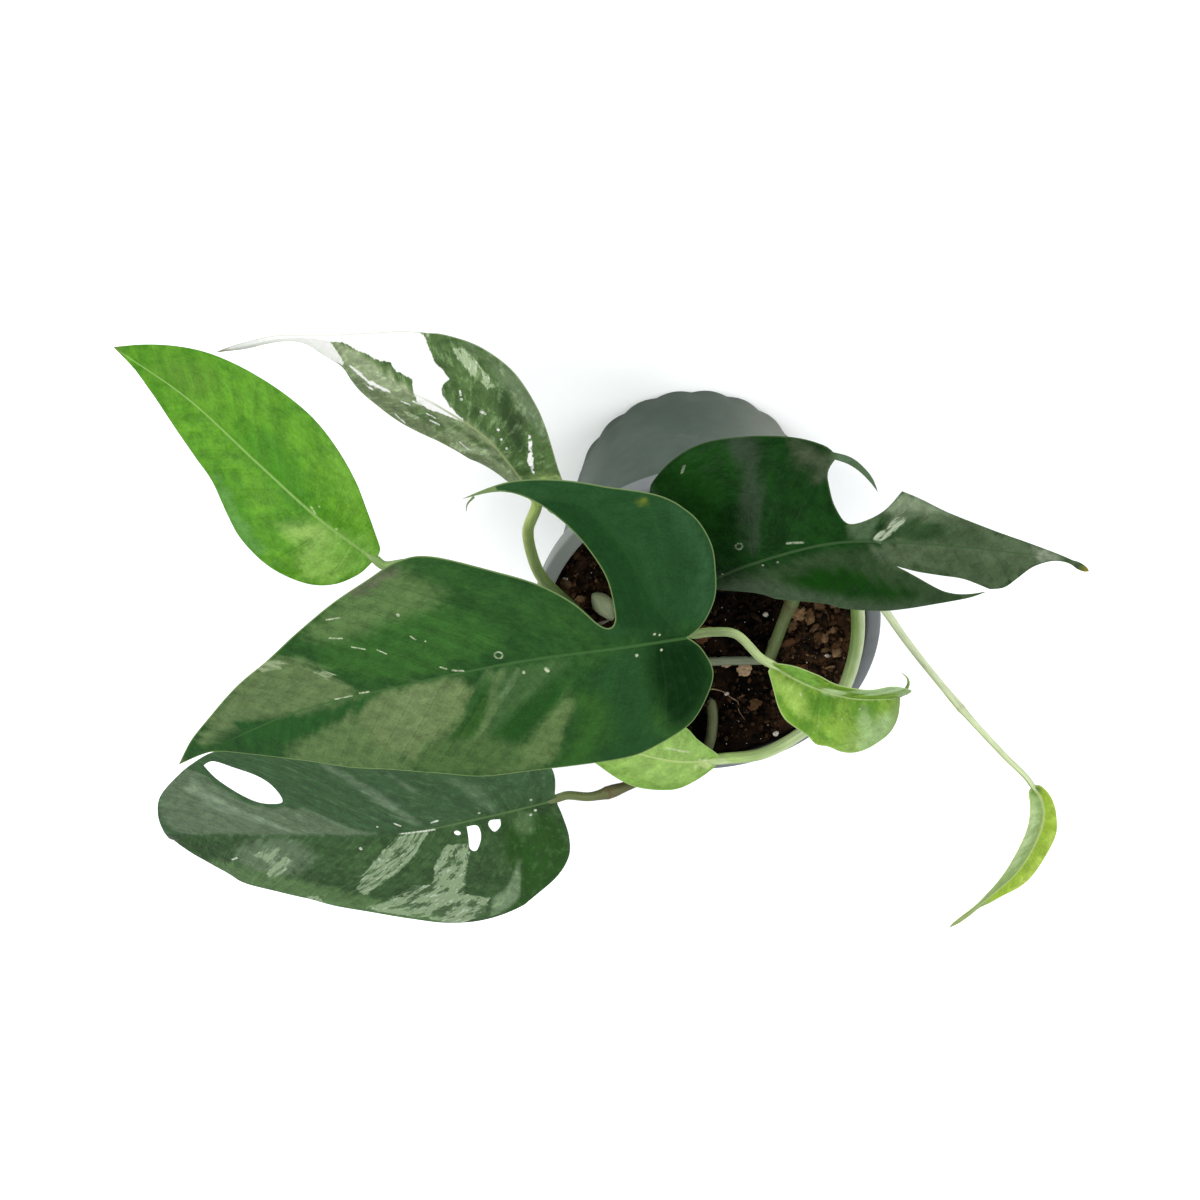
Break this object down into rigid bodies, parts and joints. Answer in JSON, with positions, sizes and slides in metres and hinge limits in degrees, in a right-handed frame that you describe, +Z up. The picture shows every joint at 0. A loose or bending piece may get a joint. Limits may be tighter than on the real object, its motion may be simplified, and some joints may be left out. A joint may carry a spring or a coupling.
{
  "type": "potted albo dragon tail plant",
  "caption": "Climbing aroid house plant with split, white-marked leaves on arching petioles, standing in a tapered plastic nursery pot filled with potting mix.",
  "frame": {"origin": "middle of the pot's flat underside", "axes": "+Z up; +X along the row of leaves, towards the trailing young shoot; +Y towards the side that the low camera sees, where the white-marked leaf hangs over the rim"},
  "size_m": [0.3187, 0.2357, 0.1952],
  "materials": {
    "pot": "satin grey-green plastic, slightly lighter on the rim",
    "soil": "dark peat and bark mix with pale specks",
    "leaf_dark": "dark green leathery blade with grey-green and cream marks",
    "leaf_bright": "fresh green leathery blade with faint yellow mottling",
    "leaf_white": "half white, half grey-green leathery blade",
    "leaf_young": "soft yellow-green young blade with pale cream marks",
    "stem": "smooth pale green stem and petioles, brown at the nodes"
  },
  "bodies": {
    "root": {"pot": "pot", "soil": "soil", "leaf_left": "leaf_bright", "leaf_white": "leaf_white", "leaf_top": "leaf_dark", "leaf_low": "leaf_dark", "leaf_right": "leaf_dark", "leaf_young": "leaf_young", "leaf_rim": "leaf_young", "leaf_trailing": "leaf_young", "petiole_left": "stem", "petiole_white": "stem", "petiole_top": "stem", "petiole_low": "stem", "petiole_right": "stem", "petiole_young": "stem", "vine_right": "stem", "bud": "stem"}
  },
  "joints": []
}
